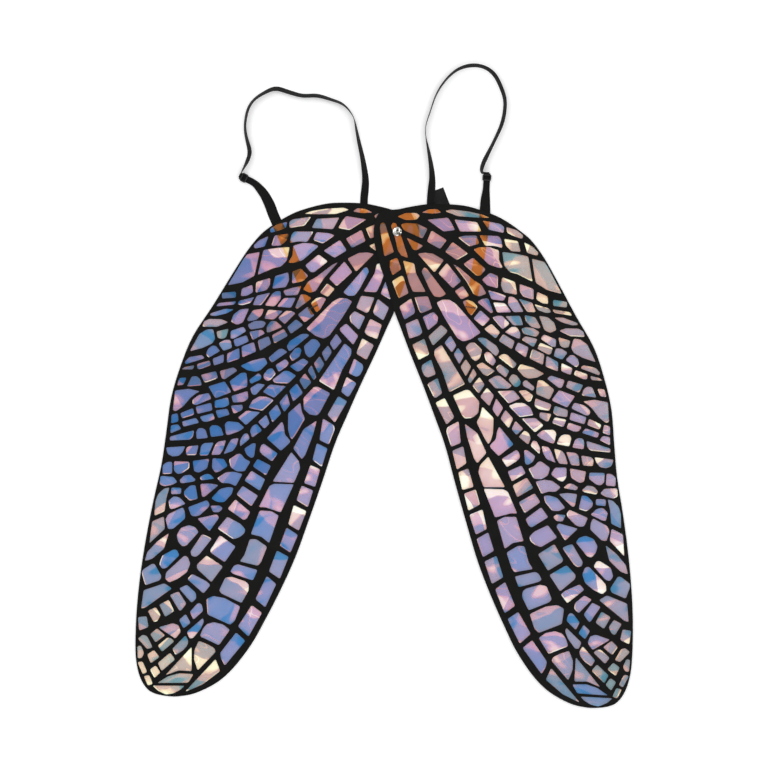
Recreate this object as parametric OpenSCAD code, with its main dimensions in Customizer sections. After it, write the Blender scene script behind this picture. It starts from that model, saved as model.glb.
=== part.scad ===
// Fairy wings: two dragonfly-style blades pinned together at the root by one
// rivet, with two elastic arm loops on the back. The set lies face up.
// Origin: the rivet axis, on the surface that the wings lie on.
// +X is the wearer's side shown on the right, +Y points to the shoulders,
// +Z comes out of the face that is shown.

/* [Blades] */
// Thickness of the clear film
film_t = 0.3; // [0.2:0.05:0.35]
// Thickness of the black die-cut lattice
lattice_t = 0.8; // [0.5:0.05:1]
// Free height between the two stacked blades
blade_gap = 0.3; // [0.25:0.05:0.5]
// How far along each side of a cell's corner its rounding starts
corner_r = 2.2; // [1:0.1:3]
// Extra spread of the left blade about the rivet, degrees
left_splay = 3.5; // [0:0.5:6]
// How far the left blade is pinned below, and outward of, the right one's mirror place
left_drop = 2; // [0:0.5:3]

/* [Rivet] */
// Diameter of the domed cap
cap_d = 13; // [11:0.5:15]
// Height of the dome
cap_h = 2; // [1.5:0.25:3]
// Diameter of the tube that the blades turn on
tube_d = 4; // [3.5:0.25:5]
// Diameter of the post that joins the cap to the tube
post_d = 2.4; // [2:0.1:2.6]
// Radial running clearance of the blades on the tube
run_gap = 0.05; // [0.02:0.01:0.1]

/* [Straps] */
// Width of the elastic
strap_w = 10; // [8:1:12]
// Width of the two layers of a lower strap where they fan out at the blade
fan_w = 14; // [12:0.5:15]
// Width of a lower strap where the slider gathers it
neck_w = 8.5; // [7:0.5:9.5]
// Thickness of one layer of elastic
elastic_t = 1; // [0.8:0.1:1]
// Width of a bar tack along the strap
tack_w = 2.4; // [1.5:0.1:3]
// Height of a bar tack's thread on the back of the strap
tack_t = 0.4; // [0.3:0.05:0.5]

/* [Sliders] */
// Length of a slider along the strap
slider_l = 9; // [8:0.5:11]
// Width of a slider's bars along the strap
bar_w = 1.6; // [1.2:0.1:2]
// Height of a slider's bars
bar_t = 1.2; // [1:0.1:1.5]
// Free space between the elastic and the slider
slot_gap = 0.3; // [0.2:0.05:0.4]
// How far a slider can run towards the blade
slider_run = 10; // [6:1:10]

/* [Label] */
// Width of the folded care label
label_w = 16; // [12:1:16]
// Thickness of the folded care label
label_t = 0.6; // [0.4:0.1:0.8]

/* [Hidden] */
$fn = 48;

black = [0.11, 0.11, 0.11];
film_tint = [0.62, 0.62, 0.8];
silver = [0.8, 0.8, 0.82];

// Heights of the stacked layers, from the table up
left_film_z = tack_t + elastic_t;
left_lattice_z = left_film_z + film_t;
right_film_z = left_lattice_z + lattice_t + blade_gap;
right_lattice_z = right_film_z + film_t;
stack_top = right_lattice_z + lattice_t;

// Every point below is [out, down]: out from the rivet axis towards the blade's
// own side, down from the rivet towards the tip.

// Edge of a blade, clockwise from the root
blade_edge = [
    [-17, -30], [0, -31], [20, -35], [45, -38.5], [75, -38], [100, -35], [130, -25.5],
    [150, -16], [172, -1], [189, 14], [207, 39], [226, 73], [250, 118], [275, 162],
    [290, 206], [300, 250], [304, 300], [308, 345], [316, 395], [323, 447], [328, 500],
    [330, 550], [329, 595], [326, 622], [319, 644], [308, 659], [295, 665], [278, 667],
    [262, 666], [240, 660], [212, 644], [190, 622], [167, 588], [150, 553], [131, 510],
    [113, 463], [99, 416], [82, 356], [67, 300], [52, 258], [36, 215], [18, 170],
    [6, 138], [-5, 109], [-16, 72], [-27, 38], [-33, 8], [-31, -14], [-26, -25]];

// Open cells of the lattice, by the main veins that they lie between.
// Under the shoulder rim
shoulder_cells = [
    [[0, -21], [12, -26], [27, -26], [32, -22], [27, -16.5], [12, -16]],
    [[34, -26.5], [44, -31], [56, -31.5], [62, -26.5], [50, -25]],
    [[67, -28.5], [75, -31], [100, -28], [120, -23.5], [130, -19], [113, -19.5], [85, -21.5]],
    [[42, -16.5], [71, -19.5], [76, -12], [81, -2], [65, 0]],
    [[80, -17], [112, -13], [118, 0], [88, 0]],
    [[119.5, -15.5], [145, -10.5], [150, -6], [149, 2], [128, -2.5]],
    [[152.5, -6.5], [168, -1.5], [176.5, 5.5], [175, 10.5], [162, 6], [154, 2]]];

// Fan of the root, out to the first heavy vein
fan_cells = [
    [[5, -10], [12, -12], [28, -11], [42.5, -4], [35.5, 10], [9, -2]],
    [[13, 8.5], [36.5, 20], [27, 26.5], [22, 25.5]],
    [[48, -1.5], [69.5, 12], [60, 24.5], [41.5, 14]],
    [[77.5, 14.5], [99.5, 31], [83.5, 40], [67, 28.5]],
    [[85, 8.5], [93, 6], [111, 5.5], [115, 17], [101, 21]],
    [[115, 5], [142, 6.5], [145.5, 11], [147.5, 23], [135, 20], [123, 20]],
    [[149.5, 10], [169, 13.5], [173, 28.5], [160, 27.5], [152, 20]],
    [[177.5, 15], [190, 21.5], [198, 30], [196, 34], [182, 30]],
    [[106.5, 25], [115, 22], [128, 21.5], [142.5, 26.5], [142.5, 40], [148, 50.5], [142, 51],
        [128, 46]],
    [[147, 28.5], [165, 31], [183.5, 35], [189.5, 70.5], [168, 59.5], [158, 57], [150, 48]],
    [[188.5, 38], [206, 42.5], [211, 50], [230.5, 87.5], [210, 82], [194, 72]],
    [[28.5, 31], [38, 29.5], [50, 31], [65.5, 40], [52, 57.5]],
    [[69.5, 44], [89.5, 69.5], [78, 79.5], [57.5, 58.5]],
    [[78, 45.5], [87, 50.5], [107, 68], [118, 75], [125, 87], [115, 91], [107, 88], [97, 70]],
    [[106, 36.5], [124, 53], [116, 62], [111, 62], [92.5, 45.5]]];

// Between the first and second heavy veins
upper_cells = [
    [[130, 57.5], [141, 62.5], [141, 79.5], [126, 75.5], [118.5, 67.5]],
    [[147, 64], [165, 70.5], [168, 88.5], [149, 85], [145, 75]],
    [[171.5, 73.5], [191, 80.5], [191, 95.5], [176, 91], [171.5, 84]],
    [[196, 84.5], [210.5, 91], [211.5, 101.5], [203, 100.5], [194.5, 95]],
    [[218.5, 95.5], [238, 98.5], [237.5, 106.5], [218, 104]],
    [[127, 82], [140, 85.5], [152.5, 90], [149, 97], [132, 95]],
    [[91.7, 76], [101, 90], [89.5, 95.2], [80.5, 83.5]],
    [[112, 98.5], [120, 94], [127.5, 93.5], [134.5, 113], [131, 114.5]],
    [[91.5, 98], [98, 95.5], [106, 98], [113, 105.5], [104, 118], [99, 113]],
    [[116.5, 110], [130, 122.5], [120, 133], [106.5, 122]],
    [[134, 99], [151, 100.5], [160, 113], [140, 113.5]],
    [[156, 91], [162.5, 91.5], [168, 96], [177, 112.5], [163, 113], [155, 102]],
    [[170, 94], [189, 99.5], [194, 113], [182, 112.5]],
    [[192, 101.5], [213, 108], [215.5, 113.5], [208, 114], [197, 110]],
    [[217, 109], [242, 113], [245, 118], [220, 114]],
    [[219.5, 120.5], [232, 120.5], [252, 128], [253, 131], [245, 131.5], [230, 127]],
    [[133, 120.5], [139, 118], [147, 118], [157.5, 129], [147.5, 137]],
    [[151, 118.5], [172, 118], [176.5, 131], [163, 131.5]],
    [[178, 117], [193, 120], [201, 134], [198, 136], [188, 133.5], [180, 126]],
    [[198.5, 118], [211, 120], [220, 128], [223, 138], [214, 142], [206, 138]],
    [[226.5, 139], [236, 135.5], [254, 136], [261, 140.5], [262.5, 147.5], [242, 146.5]],
    [[121.5, 136.5], [132, 129], [144, 141], [138, 150]],
    [[150.5, 141], [160, 133.5], [167, 133.5], [172.5, 142], [172, 150], [168, 149.5]],
    [[173.5, 136.5], [179, 134], [190, 135], [199.5, 141], [195, 147.5], [177, 143.5]],
    [[148.5, 143.5], [164.5, 153.5], [160.5, 165], [142, 153]],
    [[179, 146.5], [196.5, 150.5], [191, 162], [174, 151.5]],
    [[205, 144], [222.5, 151], [222, 162], [216, 161], [200.5, 150]],
    [[225.5, 148], [242.5, 153], [240, 162], [233, 163], [228, 160]],
    [[247, 150], [256, 151], [266, 158], [278, 183], [260, 177], [247, 170], [243.5, 163]],
    [[169, 155], [184, 162], [180, 176.5], [164.5, 165.5]],
    [[200, 155.5], [218, 163], [215, 172], [211, 172], [196, 164]],
    [[189, 164.5], [206, 172], [204, 187], [185, 177.5]],
    [[222, 163.5], [230, 164], [238.5, 169.5], [231, 179.5], [219, 174.5]],
    [[209, 174], [225.5, 183], [225, 196], [207.5, 189]],
    [[235.5, 180], [242, 173], [247, 173], [253, 178.5], [255, 186], [251, 190.5]],
    [[230, 184], [245.5, 191.5], [243, 201], [229.5, 195.5]],
    [[256.5, 191.5], [260, 187], [278, 191], [284, 198], [283, 201.5]],
    [[249.5, 194], [266.5, 200], [266, 207], [261, 207], [247, 200.5]],
    [[270, 202], [284, 205.5], [288, 209], [272, 208]]];

// Long open panels and small diamonds beside the inner column
panel_cells = [
    [[55, 99.5], [63, 95.5], [73, 95.5], [82, 101], [97, 118], [117, 141.5], [103, 151],
        [92, 154], [84, 149], [67, 122]],
    [[66, 156], [74.5, 145.5], [83, 159.5], [76.5, 169.5]],
    [[52, 166], [62, 158.5], [95, 213.5], [73, 225], [63, 195], [52, 174]],
    [[85, 162.5], [93.5, 174], [87, 186], [79, 172]],
    [[96, 178.5], [103.5, 189.5], [96, 203], [88.5, 189.5]],
    [[106.5, 191.5], [111.5, 200], [102, 213], [98.5, 208]],
    [[115, 203.5], [122.5, 214.5], [114, 227], [105, 216]],
    [[125.5, 218.5], [135.5, 229.5], [129, 244.5], [116, 231.5]],
    [[138.5, 233.5], [148.5, 247], [140.5, 260], [133, 249]],
    [[151.5, 249.5], [162.5, 262], [156, 275.5], [144.5, 262]],
    [[165.5, 265], [176.5, 276], [167, 285], [160, 277]],
    [[178, 278.5], [184, 282], [187, 289], [183.5, 298.5], [170, 287.5]],
    [[78, 229.5], [96, 221.5], [101, 222], [115, 238.5], [113.5, 254], [105, 261], [95, 262],
        [91, 258]],
    [[119, 245], [135, 261], [134, 283], [131, 293], [127.5, 298], [122, 289], [111, 267],
        [116, 258]],
    [[143, 273], [163, 298], [142, 314.5], [130, 302], [130, 299], [138, 291], [140, 279]],
    [[94.5, 269], [112, 282], [125, 310], [112, 324.5], [107.5, 318], [98, 288]],
    [[127.5, 315], [151, 358], [121, 358], [113.5, 337], [116, 327]],
    [[121, 360], [149, 361], [155, 364.5], [168, 395], [159, 394.5], [137, 400.5]],
    [[139.5, 405], [150, 399.5], [166.5, 399.5], [177, 433.5], [162, 436], [150.5, 444.5]],
    [[153, 449.5], [169, 440], [178, 440.5], [184, 463], [190, 472.5], [164, 477], [160, 471]],
    [[164.5, 483], [193, 476.5], [198, 479], [202.5, 487.5], [198, 490.5], [170, 498]],
    [[175.5, 504], [180, 500], [200, 494.5], [209, 496.5], [216.5, 515], [213, 519],
        [184, 530.5], [175, 512]],
    [[185.5, 535.5], [208, 525], [224, 523], [233.5, 528], [230.5, 549.5], [198, 562],
        [192, 556]],
    [[198, 569], [208, 562], [221, 559.5], [231, 563], [236, 570], [239.5, 580.5],
        [212, 591.5]],
    [[216, 601], [218, 596], [228, 591], [240.5, 587], [246, 601], [245.5, 614],
        [239.5, 628.5]]];

// Column along the inner rim, from the root to the tip
inner_cells = [
    [[-24.5, -6], [-22.5, -12.5], [-17.5, -12.5], [-13, 2], [-4.5, 29], [-18, 35]],
    [[-9, -8], [-6, -12.5], [-2, -12], [6, 8], [15.5, 37], [6, 34], [1, 27], [-3, 9]],
    [[-10, 40.5], [0, 36.5], [6, 52.5], [-6.5, 61.5], [-10.5, 51]],
    [[-7.5, 69.5], [6, 61.5], [8.5, 63], [16, 86.5], [2, 93.5]],
    [[8, 40.5], [24, 45], [26, 58], [40, 84.5], [22, 84.5], [17, 73]],
    [[34, 56], [37.5, 50], [41, 51.5], [68.5, 87.5], [61, 92], [52, 91], [46, 82]],
    [[3, 105], [19.5, 93.5], [25, 111], [24, 115], [10, 123.5]],
    [[24, 92], [43, 90.5], [49, 108], [34, 114.5], [31, 112]],
    [[11.5, 129.5], [28.5, 122], [35.5, 141], [31, 145.5], [17, 150]],
    [[35.5, 119.5], [51, 112.5], [57.5, 120], [56, 128], [43, 138.5]],
    [[61.5, 130.5], [70.5, 138.5], [69, 142], [50, 160], [43.5, 147]],
    [[21, 158.5], [38, 150], [45, 172], [30, 180]],
    [[34.5, 187], [47.5, 179], [54, 200], [43, 204.5], [38, 202], [34, 193]],
    [[42, 213.5], [56.5, 205], [63, 226.5], [54, 233], [51, 232]],
    [[53.5, 239.5], [66.5, 233], [80, 260], [69, 270.5]],
    [[70, 274], [86, 265.5], [89, 296], [75.5, 301.5], [68.5, 280]],
    [[77, 307], [92.5, 300.5], [97, 324.5], [83.5, 333.5]],
    [[85.5, 337], [99.5, 331.5], [107, 357.5], [91, 362]],
    [[93.5, 367], [110, 361], [116, 382], [99.5, 391]],
    [[101, 396.5], [119.5, 389], [125.5, 416.5], [110, 424.5]],
    [[111, 430.5], [127.5, 421], [135.5, 447], [120, 456]],
    [[122, 462], [139, 454], [148.5, 484], [132.5, 493.5]],
    [[137, 501], [151, 490.5], [165, 524], [150.5, 534.5]],
    [[154.5, 542.5], [169.5, 532.5], [187, 563.5], [171.5, 577]],
    [[175.5, 583], [189, 572], [209.5, 602], [208, 610], [202, 619.5]],
    [[215.5, 611], [231, 630], [255.5, 659.5], [232, 648], [208, 627.5]]];

// Between the second and third heavy veins
middle_cells = [
    [[141, 175.5], [149, 171], [154, 172.5], [167.5, 185.5], [163, 191.5], [160, 190.5]],
    [[172.5, 185.5], [190, 190.5], [206, 199], [196, 204.5], [184, 206], [177, 203], [168, 193]],
    [[209.5, 206], [215, 201.5], [234.5, 208], [231, 218], [227, 219.5]],
    [[239.5, 208.5], [260.5, 215], [255, 225], [252, 225], [236, 218]],
    [[261, 221], [266, 217], [273, 218], [279, 232.5], [258, 229.5]],
    [[280, 220], [290, 221], [293, 232], [284, 230.5]],
    [[260, 238], [276, 235.5], [295, 239], [296.5, 267], [292, 268], [282, 260], [273, 248],
        [266, 241.5]],
    [[197, 208], [204, 208.5], [220, 221.5], [213, 235.5], [194.5, 227.5], [195, 218]],
    [[226.5, 222], [249, 230.5], [238, 246.5], [216, 236.5]],
    [[248, 239.5], [262, 243.5], [270, 250.5], [270, 256], [265, 258], [243.5, 247.5]],
    [[193.5, 233.5], [216, 242], [213, 251], [198, 249], [192, 244]],
    [[220.5, 244], [239, 250], [238, 260], [224, 258], [218, 254]],
    [[199.5, 253], [216, 255.5], [211.5, 266], [208, 265.5], [199, 260]],
    [[243.5, 253], [265, 260], [262, 270], [241, 263.5]],
    [[220.5, 260], [237, 263.5], [232.5, 274], [216.5, 268]],
    [[268.5, 262], [286, 270.5], [283, 277.5], [266, 271]],
    [[240, 267.5], [258.5, 273.5], [254, 280], [247, 280], [237, 275.5]],
    [[289.5, 270.5], [298, 273], [298, 285.5], [287.5, 282]],
    [[263.5, 275.5], [283, 282], [280.5, 289], [258.5, 282]],
    [[288, 286], [298, 288], [298, 299.5], [283, 292]],
    [[95.5, 162.5], [101, 156], [108, 155], [119, 166], [116, 177], [110, 182], [104.5, 178]],
    [[112, 150.5], [115, 148.5], [123, 149], [139, 160], [143, 168], [139, 174.5], [136, 173]],
    [[121.5, 172], [125, 168], [131, 170], [138.5, 181], [134, 188.5], [124, 181]],
    [[110.5, 187.5], [119, 183], [137, 195.5], [126, 202.5], [121, 200.5]],
    [[138, 190.5], [143.5, 185.5], [157, 195], [152, 204.5], [141, 196]],
    [[127, 208], [138, 202], [144, 202], [160.5, 216], [156, 220], [137.5, 219.5]],
    [[140, 223.5], [163, 222.5], [172.5, 233.5], [156, 241]],
    [[155.5, 207], [161, 199.5], [167, 201], [173, 209.5], [172, 215], [167, 218], [163, 216.5]],
    [[175.5, 211], [180, 207.5], [192.5, 218], [190, 223.5], [176, 216]],
    [[169.5, 223], [180, 222], [190.5, 229.5], [187, 238], [182, 238.5]],
    [[156, 244], [166, 240], [177, 240], [186, 246], [191, 257], [171.5, 260]],
    [[174, 262], [193.5, 261], [205, 271.5], [193, 281.5]],
    [[195, 285], [204, 278], [219, 277.5], [223, 282], [220, 296.5], [216, 296.5], [202, 290.5]],
    [[223, 297.5], [228, 287], [233, 284], [241, 284.5], [244, 289], [241, 301]],
    [[245, 302.5], [249, 291.5], [254, 289], [260, 290], [262, 295], [261, 305]],
    [[265, 293], [282, 298.5], [298.5, 304], [298.5, 309.5], [270, 306.5], [266, 302]]];

// Below the third heavy vein
lower_cells = [
    [[186.5, 300], [190, 292.5], [195, 293.5], [200, 303], [199.5, 312]],
    [[202, 300], [212, 302], [216, 309], [222, 324], [209, 318.5], [204.5, 311]],
    [[219.5, 304], [231, 307], [235, 313], [239, 326], [227, 325], [223, 318]],
    [[236.5, 308.5], [250, 310], [254, 314], [255.5, 328], [243.5, 327]],
    [[257.5, 313.5], [272, 316], [275, 320], [274, 328.5], [260, 327.5]],
    [[276, 316], [303, 319.5], [300, 328.5], [293, 331.5], [284, 330], [279, 324]],
    [[177.5, 306], [182, 306], [193.5, 314.5], [190, 322.5], [183, 327], [179, 325]],
    [[146, 318.5], [167, 305.5], [170.5, 309], [172, 316.5], [168, 321], [153.5, 330]],
    [[154.5, 336], [174, 327.5], [180, 338.5], [160.5, 350]],
    [[161.5, 355.5], [181.5, 344.5], [190.5, 359], [168, 372]],
    [[170, 379], [192.5, 366.5], [200.5, 379], [178.5, 394.5]],
    [[179.5, 402.5], [201.5, 386], [211.5, 400], [188, 414.5], [184, 412]],
    [[185, 427], [192, 420], [211, 411], [224, 428.5], [201, 442], [193, 439], [186, 433]],
    [[197, 452], [220, 437.5], [232.5, 459.5], [231, 463], [211, 475]],
    [[213, 481], [237, 467], [250, 481], [249, 486.5], [228, 504]],
    [[229, 508], [235, 503], [255.5, 494], [262, 501.5], [238, 520.5]],
    [[183.5, 332], [192, 328.5], [197.5, 322], [202, 322], [214, 331], [211, 341.5],
        [202, 347], [191, 346]],
    [[215, 340], [221, 330.5], [237, 330.5], [237, 344], [232, 350.5], [226, 348.5]],
    [[241.5, 331.5], [264.5, 336], [261.5, 350.5], [255, 352], [243.5, 345]],
    [[269, 337.5], [290.5, 338], [290, 351], [285, 355.5], [279, 354.5], [268.5, 346.5]],
    [[293, 339], [300, 339.5], [306, 344.5], [305.5, 357], [292, 355.5]],
    [[193.5, 350], [206, 347.5], [217, 349], [229, 358], [222, 364.5], [212, 364], [202, 367.5]],
    [[232.5, 359], [239, 353], [245, 353], [253.5, 358], [251, 362.5]],
    [[258, 362.5], [266, 355.5], [275, 357], [281.5, 364], [279, 368.5], [262, 365]],
    [[284, 367], [290, 360], [308, 359.5], [309, 371], [303, 374], [292, 371.5]],
    [[205, 370], [213, 369.5], [224, 373], [235.5, 387], [226, 391.5], [217, 391], [207, 379]],
    [[226, 367.5], [238, 366], [252, 367.5], [248.5, 385], [245, 385.5]],
    [[258.5, 369.5], [266, 370.5], [274, 379], [273.5, 385], [265, 392], [254, 388.5]],
    [[278, 374.5], [292, 375], [292, 384.5], [278, 383]],
    [[294.5, 375], [302, 377], [310, 385.5], [313, 395], [313.5, 416], [299.5, 409], [298, 390]],
    [[270.5, 396.5], [280, 388], [288, 387], [295, 394], [292, 405.5], [287, 404.5]],
    [[237, 395], [241, 389.5], [267, 401], [262, 412.5], [256, 413.5], [250, 411.5], [238, 399]],
    [[218, 399.5], [223, 396], [236, 397], [231.5, 406], [223, 405.5]],
    [[222.5, 413], [226, 408.5], [253, 416], [235, 433]],
    [[274, 401.5], [294, 412.5], [297.5, 420], [293, 433.5], [286, 432.5], [270, 417],
        [271, 408]],
    [[300, 416], [316, 424], [318, 455], [297.5, 433]]];

// Round cells and small cells at the tip
tip_cells = [
    [[250, 435], [255, 428.5], [264, 426], [275, 430.5], [280.5, 441], [278, 450],
        [272, 456.5], [266, 455]],
    [[231, 443], [237, 440], [245, 437.5], [260, 463], [258, 469], [252, 470], [247, 466]],
    [[291.5, 439], [307, 451.5], [320, 467], [323, 480], [313, 476.5], [297, 461]],
    [[275, 469], [279, 461.5], [284, 461.5], [299, 471], [302.5, 483], [298, 489.5],
        [292, 488]],
    [[259, 480], [263, 470.5], [268, 469], [292, 494], [293, 503], [287, 508], [275, 502],
        [263, 492]],
    [[309, 483], [313, 483.5], [325.5, 493], [326, 498], [320, 514], [300, 505.5], [298, 500]],
    [[282.5, 516], [293.5, 509.5], [322, 521], [324, 547], [318, 545]],
    [[262, 509.5], [272.5, 515.5], [254, 534.5], [247.5, 528], [249, 520]],
    [[273, 519.5], [285, 525.5], [270, 547], [267, 545], [261, 536]],
    [[286, 532], [299, 540], [289.5, 556.5], [277.5, 547.5]],
    [[303.5, 543.5], [314.5, 549.5], [305, 565], [300, 563], [296, 554]],
    [[242, 534], [246, 535], [255.5, 547.5], [250, 558], [237, 545], [239, 537]],
    [[261, 550.5], [270, 559.5], [263, 571], [253.5, 562.5]],
    [[315.5, 557], [327.5, 559], [325, 578], [312, 572]],
    [[235, 560], [236.5, 554.5], [258, 575.5], [254, 584.5], [249, 584], [239, 570]],
    [[270, 567], [278, 564.5], [298, 571.5], [273.5, 586], [266.5, 576]],
    [[288, 582], [300, 573], [309, 582], [301, 593]],
    [[274.5, 589.5], [280, 585.5], [284.5, 585], [297.5, 597], [291, 605.5]],
    [[255, 588], [259.5, 580.5], [277, 600.5], [272, 609], [262, 602], [256, 594]],
    [[313, 585], [319, 583], [326, 589], [312, 603], [304.5, 600]],
    [[321, 598.5], [326, 599.5], [324.5, 616.5], [319, 616], [316, 609]],
    [[294, 613], [302.5, 603.5], [311.5, 610.5], [306, 622.5]],
    [[272, 615], [279.5, 606], [296, 621.5], [290, 632.5]],
    [[291.5, 634.5], [298.5, 625], [306.5, 631], [299.5, 643]],
    [[317.5, 620.5], [324.5, 622], [316, 638.5], [310, 635]],
    [[307, 639], [314.5, 641], [308, 654], [301, 651]],
    [[250, 596], [284.5, 638], [266, 630], [248, 630]],
    [[245, 634], [265, 634], [280, 639], [295, 649.5], [272, 648], [252, 646.5]],
    [[256.5, 651], [301.5, 653.5], [294, 660], [282, 665], [271, 662.5], [262, 657]]];

cells = concat(shoulder_cells, fan_cells, upper_cells, panel_cells, inner_cells,
    middle_cells, lower_cells, tip_cells);

// Sliders: middle, and heading towards the blade in degrees
left_slider_at = [-214.5, 75.2];
left_slider_turn = -27;
right_slider_at = [125.5, 75.5];
right_slider_turn = -93;

// [along, across] in a slider's own axes to [x, y]
function beside(at, turn, p) = at + [p[0] * cos(turn) - p[1] * sin(turn),
    p[0] * sin(turn) + p[1] * cos(turn)];

// Straps, from their sewn end on. Each station is [x, y, tilt, height, width, thickness]:
// tilt turns the flat strap about its own run, 0 lying flat and 90 standing on edge, and
// height is that of its lowest corner.
left_strap_z = left_film_z - elastic_t;
right_strap_z = right_film_z - elastic_t;
slot_z = bar_t + slot_gap;
w = strap_w;
t = elastic_t;

// The doubled end runs straight through its slider and ends in the seam of the arm strap
strap_end = slider_l / 2 + 1.5;
seam_in = 0.3;
function in_slider(at, turn) = [for (along = [slider_l / 2 + slider_run + 1, 0, -strap_end - seam_in])
    concat(beside(at, turn, [along, 0]), [0, slot_z, neck_w, 2 * t])];
// The arm strap stands on edge across that end, coming in from the given side
function across_end(at, turn, side) = [for (across = [7, 2, -3])
    concat(beside(at, turn, [-strap_end - t / 2, side * across]), [90, 0, w, t])];

left_arm_route = concat([
    [-47, 20, 0, left_strap_z, w, t], [-46.5, 45, 0, left_strap_z, w, t],
    [-45, 60, 12, 0, w, t], [-44.5, 75, 30, 0, w, t], [-48, 100, 50, 0, w, t],
    [-53.5, 125, 62, 0, w, t], [-57, 142, 72, 0, w, t], [-60.5, 158, 88, 0, w, t],
    [-69, 171.5, 76, 0, w, t], [-79, 179.5, 65, 0, w, t], [-94, 185, 60, 0, w, t],
    [-112, 190, 52, 0, w, t], [-133, 190, 52, 0, w, t], [-151.5, 195, 50, 0, w, t],
    [-170, 200, 46, 0, w, t], [-186, 194, 56, 0, w, t], [-201, 183.5, 63, 0, w, t],
    [-209.5, 169, 64, 0, w, t], [-213, 148, 69, 0, w, t], [-211, 131, 65, 0, w, t],
    [-206.5, 112, 52, 0, w, t], [-210, 98, 56, 0, w, t]],
    across_end(left_slider_at, left_slider_turn, 1));

right_arm_route = concat([
    [47, 20, 0, right_strap_z, w, t], [47, 44, 0, right_strap_z, w, t],
    [48, 58, 10, 1.4, w, t], [49, 74, 34, 0, w, t], [47.5, 92, 50, 0, w, t],
    [43.5, 115, 68, 0, w, t], [40, 133, 88, 0, w, t], [40, 148, 90, 0, w, t],
    [46, 167, 87, 0, w, t], [54, 190, 84, 0, w, t], [65.5, 209, 81, 0, w, t],
    [82, 225, 77, 0, w, t], [101, 232, 70, 0, w, t], [120, 230.5, 73, 0, w, t],
    [135.5, 220, 67, 0, w, t], [146, 200, 66, 0, w, t], [151, 180, 67, 0, w, t],
    [147, 152, 62, 0, w, t], [134, 123, 67, 0, w, t], [123, 101, 55, 0, w, t],
    [118.5, 89, 62, 0, w, t]],
    across_end(right_slider_at, right_slider_turn, -1));

left_lower_route = concat([
    [-114, -115, 0, left_strap_z, fan_w, t], [-152, -24, 0, left_strap_z, fan_w, t],
    [-172, 20, 0, left_strap_z, fan_w, t], [-178, 36, 0, left_strap_z, fan_w, 2 * t],
    [-185, 50, 0, 0.6, 12.5, 2 * t], [-192, 59.5, 0, 1, 11, 2 * t]],
    in_slider(left_slider_at, left_slider_turn));

right_lower_route = concat([
    [101, -116, 0, right_strap_z, fan_w, t], [116, -30, 0, right_strap_z, fan_w, t],
    [122.5, 20, 0, right_strap_z, fan_w, t], [123, 32, 0, right_strap_z, fan_w, t],
    [123.5, 45, 0, 1, 12.5, 2 * t]],
    in_slider(right_slider_at, right_slider_turn));

// Care label: middle of its sewn edge, its heading, and how steeply it dips to the table
label_at = [68, 31, right_film_z];
label_turn = 110.7;
label_l = 31;
label_dip = asin((right_film_z - label_t - 0.1) / label_l);

// A point on the smooth curve from b to c, between neighbours a and d
function between(a, b, c, d, f) = 0.5 * (2 * b + f * (c - a)
    + f * f * (2 * a - 5 * b + 4 * c - d) + f * f * f * (3 * b - a - 3 * c + d));

function item(list, i) = list[(i + len(list)) % len(list)];

// Closed smooth curve through the points, n steps from each to the next
function closed_curve(p, n) = [for (i = [0:len(p) - 1], k = [0:n - 1])
    between(item(p, i - 1), p[i], item(p, i + 1), item(p, i + 2), k / n)];

// Open curve: x and y run smoothly, the other values in straight steps
function clamped(list, i) = list[max(0, min(len(list) - 1, i))];
function plan(s) = [s[0], s[1]];
function station(r, i, f) = concat(
    between(plan(clamped(r, i - 1)), plan(r[i]), plan(clamped(r, i + 1)),
        plan(clamped(r, i + 2)), f),
    [for (k = [2:5]) r[i][k] * (1 - f) + clamped(r, i + 1)[k] * f]);
function open_curve(r, n) = concat(
    [for (i = [0:len(r) - 2], k = [0:n - 1]) station(r, i, k / n)], [r[len(r) - 1]]);

// The points from the middle of one side to the next, round a corner
function corner(a, b, c, cut) = let(
        back = min(cut, 0.45 * norm(a - b)), on = min(cut, 0.45 * norm(c - b)),
        p = b + (a - b) * back / norm(a - b), q = b + (c - b) * on / norm(c - b))
    [p, (p + 2 * b + q) / 4, q];
function rounded(p, cut) = [for (i = [0:len(p) - 1])
    each corner(item(p, i - 1), p[i], item(p, i + 1), cut)];

// [out, down] to [x, y]
function placed(p) = [for (q = p) [q[0], -q[1]]];

module blade_outline() {
    polygon(placed(closed_curve(blade_edge, 4)));
}

module film_sheet() {
    color(film_tint) linear_extrude(film_t) blade_outline();
}

// The rim and all veins, in one cut sheet
module lattice_sheet() {
    color(black) linear_extrude(lattice_t) difference() {
        blade_outline();
        for (cell = cells) polygon(placed(rounded(cell, corner_r)));
    }
}

// Places a blade on the left side
module on_left() {
    translate([-left_drop, -left_drop, 0]) mirror([1, 0, 0]) rotate([0, 0, left_splay])
        children();
}

// The hole that the rivet's tube goes through
module rivet_hole(z) {
    translate([0, 0, z - 1]) cylinder(h = film_t + 2, d = tube_d + 2 * run_gap);
}

module right_film() {
    difference() {
        translate([0, 0, right_film_z]) film_sheet();
        rivet_hole(right_film_z);
    }
}

module left_film() {
    difference() {
        translate([0, 0, left_film_z]) on_left() film_sheet();
        rivet_hole(left_film_z);
    }
}

module right_lattice() {
    translate([0, 0, right_lattice_z]) lattice_sheet();
}

module left_lattice() {
    translate([0, 0, left_lattice_z]) on_left() lattice_sheet();
}

// Flange behind the blades, with the tube that they turn on
module rivet_base() {
    color(silver) difference() {
        union() {
            cylinder(h = left_film_z, d = cap_d);
            cylinder(h = stack_top, d = tube_d);
        }
        translate([0, 0, left_film_z]) cylinder(h = stack_top, d = post_d);
    }
}

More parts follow.
